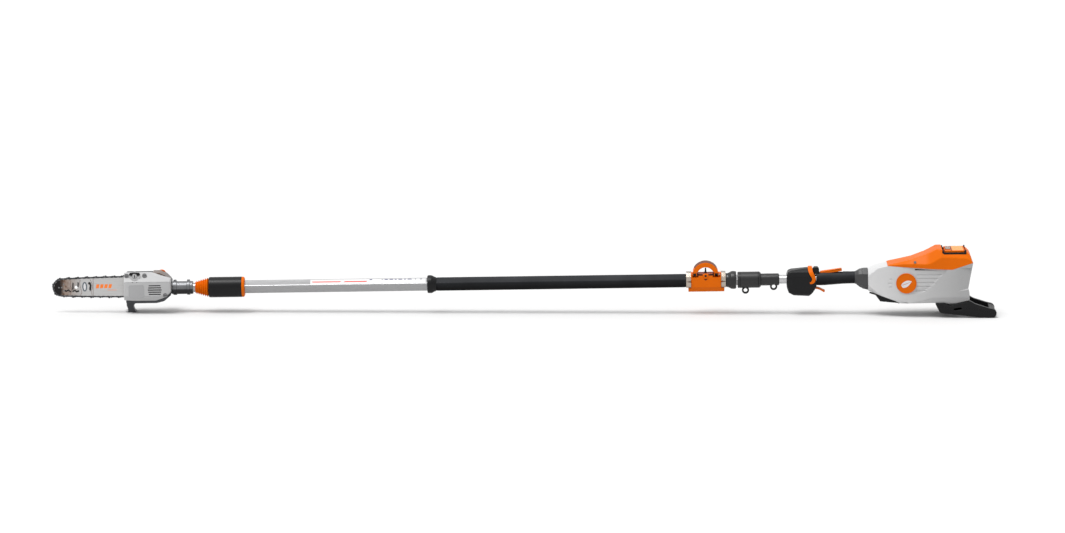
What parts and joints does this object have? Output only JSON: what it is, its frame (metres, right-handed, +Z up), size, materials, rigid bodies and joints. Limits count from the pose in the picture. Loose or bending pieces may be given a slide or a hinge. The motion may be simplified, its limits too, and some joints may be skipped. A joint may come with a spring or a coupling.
{
  "type": "telescoping pole saw",
  "caption": "Battery pole saw with a telescoping square pole, quick clamp, chain saw head at one end, and control handle, motor housing and battery at the other.",
  "frame": {"origin": "on the ground under the middle of the saw, which stands on its branch hook and rear bracket", "axes": "+X along the saw from the guide bar to the battery end, +Z up, +Y away from the sprocket cover side"},
  "size_m": [2.7016, 0.114, 0.1985],
  "materials": {
    "aluminium": "satin anodised",
    "black_plastic": "fine texture",
    "black_rubber": "matte",
    "orange_plastic": "satin",
    "grey_plastic": "satin",
    "cast_metal": "die cast, satin grey coat",
    "steel": "satin",
    "bar_steel": "satin",
    "chain_steel": "oiled",
    "tank_plastic": "translucent look",
    "bright_plate": "bright",
    "winding": "varnished",
    "board": "lacquered"
  },
  "bodies": {
    "drive_unit": {"inner_tube": "aluminium", "pole_slider": "black_plastic", "strap_bush_front": "black_plastic", "strap_bush_rear": "black_plastic", "eyelet_inserts": "steel", "handle_tube": "aluminium", "shroud_left": "black_plastic", "shroud_right": "black_plastic", "grip_sleeve": "black_rubber", "bell_coupling": "black_plastic", "housing_left": "grey_plastic", "housing_right": "grey_plastic", "top_cover": "orange_plastic", "battery_well": "black_plastic", "inlet_grille": "black_plastic", "side_badges": "orange_plastic", "rear_bracket": "black_plastic", "motor_stator": "winding", "control_board": "board", "housing_screws": "steel"},
    "outer_pole": {"outer_tube": "aluminium", "grip_hose": "black_rubber", "front_collar": "black_plastic", "rear_collar": "black_plastic", "pole_guide_bush": "black_plastic", "clamp_body": "orange_plastic", "clamp_end_plates": "bright_plate", "clamp_pins": "steel", "pole_sleeve": "black_plastic", "sleeve_ring": "orange_plastic", "rubber_boot": "orange_plastic", "neck_tube": "aluminium", "shaft_fitting": "cast_metal", "gear_housing": "cast_metal", "branch_hook": "cast_metal", "sprocket_cover": "grey_plastic", "gear_head_screws": "steel", "oil_tank": "tank_plastic", "guide_bar": "bar_steel", "chain_drive_links": "chain_steel", "chain_tie_straps": "chain_steel", "chain_cutters": "chain_steel", "chain_rivets": "chain_steel", "head_bearings": "steel"},
    "clamp_lever": {"clamp_lever": "orange_plastic"},
    "oil_cap": {"oil_cap": "orange_plastic"},
    "tension_wheel": {"tension_wheel": "grey_plastic"},
    "front_shaft": {"front_drive_shaft": "steel", "bevel_pinion": "steel"},
    "sprocket": {"bevel_wheel": "steel", "sprocket_shaft": "steel", "chain_sprocket": "steel"},
    "nose_sprocket": {"nose_sprocket": "steel"},
    "trigger": {"trigger": "orange_plastic"},
    "lockout_lever": {"lockout_lever": "orange_plastic"},
    "retaining_latch": {"retaining_latch": "orange_plastic"},
    "battery": {"battery": "orange_plastic"},
    "battery_latch": {"battery_latch": "bright_plate"},
    "motor_rotor": {"motor_rotor": "steel", "rear_drive_shaft": "aluminium"}
  },
  "joints": [
    {"name": "telescope", "type": "slide", "parent": "drive_unit", "child": "outer_pole", "axis": [-0.9998, 0, -0.0175], "range_m": [0, 1.2]},
    {"name": "clamp_lever_swing", "type": "hinge", "parent": "outer_pole", "child": "clamp_lever", "pos_m": [0.52038, -0.018, 0.11649], "axis": [0.9998, 0, 0.0175], "range_deg": [0, 85]},
    {"name": "oil_cap_turn", "type": "hinge", "parent": "outer_pole", "child": "oil_cap", "pos_m": [-1.04112, 0.04, 0.10273], "axis": [0, 1, 0], "range_deg": [0, 90]},
    {"name": "tension_wheel_turn", "type": "hinge", "parent": "outer_pole", "child": "tension_wheel", "pos_m": [-1.11224, -0.033, 0.10949], "axis": [0, 1, 0], "range_deg": [-180, 180]},
    {"name": "motor_spin", "type": "hinge", "parent": "drive_unit", "child": "motor_rotor", "pos_m": [1.09713, 0, 0.10706], "axis": [0.9998, 0, 0.0175], "continuous": true},
    {"name": "front_shaft_spin", "type": "hinge", "parent": "outer_pole", "child": "front_shaft", "pos_m": [-0.25266, 0, 0.08349], "axis": [0.9998, 0, 0.0175], "continuous": true},
    {"name": "sprocket_spin", "type": "hinge", "parent": "outer_pole", "child": "sprocket", "pos_m": [-1.06753, 0, 0.06927], "axis": [0, 1, 0], "continuous": true},
    {"name": "nose_sprocket_spin", "type": "hinge", "parent": "outer_pole", "child": "nose_sprocket", "pos_m": [-1.32265, -0.022, 0.07382], "axis": [0, 1, 0], "continuous": true},
    {"name": "trigger_squeeze", "type": "hinge", "parent": "drive_unit", "child": "trigger", "pos_m": [0.82865, 0, 0.07537], "axis": [0, -1, 0], "range_deg": [0, 12], "stiffness_Nm_per_rad": 0.5, "springref_deg": -11.46},
    {"name": "lockout_press", "type": "hinge", "parent": "drive_unit", "child": "lockout_lever", "pos_m": [0.84989, 0, 0.11914], "axis": [0, 1, 0], "range_deg": [0, 4], "stiffness_Nm_per_rad": 0.4, "springref_deg": -17.19},
    {"name": "latch_push", "type": "slide", "parent": "drive_unit", "child": "retaining_latch", "axis": [-0.9998, 0, -0.0175], "range_m": [0, 0.004], "stiffness_N_per_m": 600, "springref_m": -0.003},
    {"name": "battery_pull", "type": "slide", "parent": "drive_unit", "child": "battery", "axis": [-0.0175, 0, 0.9998], "range_m": [0, 0.14]},
    {"name": "battery_latch_press", "type": "slide", "parent": "battery", "child": "battery_latch", "axis": [0.0175, 0, -0.9998], "range_m": [0, 0.0025], "stiffness_N_per_m": 600, "springref_m": -0.003}
  ],
  "couplings": [
    {"joint": "front_shaft_spin", "follows": "motor_spin", "ratio": 1},
    {"joint": "sprocket_spin", "follows": "motor_spin", "ratio": -0.75},
    {"joint": "nose_sprocket_spin", "follows": "motor_spin", "ratio": -0.66667}
  ]
}
